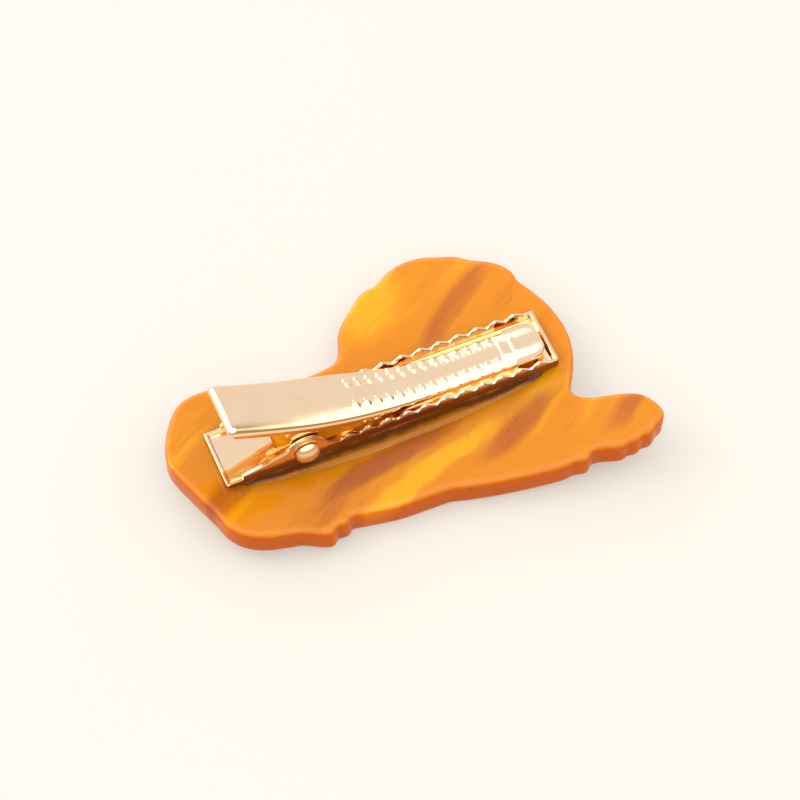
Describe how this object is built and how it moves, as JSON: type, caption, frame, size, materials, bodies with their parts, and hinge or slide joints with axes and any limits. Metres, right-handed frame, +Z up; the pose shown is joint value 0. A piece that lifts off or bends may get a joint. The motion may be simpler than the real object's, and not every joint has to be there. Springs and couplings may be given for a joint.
{
  "type": "hair barrette",
  "caption": "Bent acetate plate in an animal outline with a sprung, toothed alligator clip glued to its back, for gripping hair.",
  "frame": {"origin": "middle of the footprint, at the height of the surface that the plate's belly rests on", "axes": "+X along the clip from its pinched tail to its nose, +Z up from the plate's decorated face to the clip"},
  "size_m": [0.0594, 0.0378, 0.0182],
  "materials": {
    "acetate": "polished marbled amber cellulose acetate",
    "clear_glue": "clear hard glue",
    "champagne_gold": "bright champagne-gold plated steel",
    "spring_gold": "gold plated spring wire"
  },
  "bodies": {
    "plate_and_tray": {"acetate_plate": "acetate", "glue_bond": "clear_glue", "base_tray": "champagne_gold", "hinge_pin": "champagne_gold", "torsion_spring": "spring_gold"},
    "lever": {"lever_jaw": "champagne_gold"}
  },
  "joints": [
    {"name": "jaw_hinge", "type": "hinge", "parent": "plate_and_tray", "child": "lever", "pos_m": [-0.01356, -0.00072, 0.00838], "axis": [0, -1, 0], "range_deg": [0, 35], "stiffness_Nm_per_rad": 0.03, "springref_deg": -57.3, "deforming": ["torsion_spring"]}
  ]
}
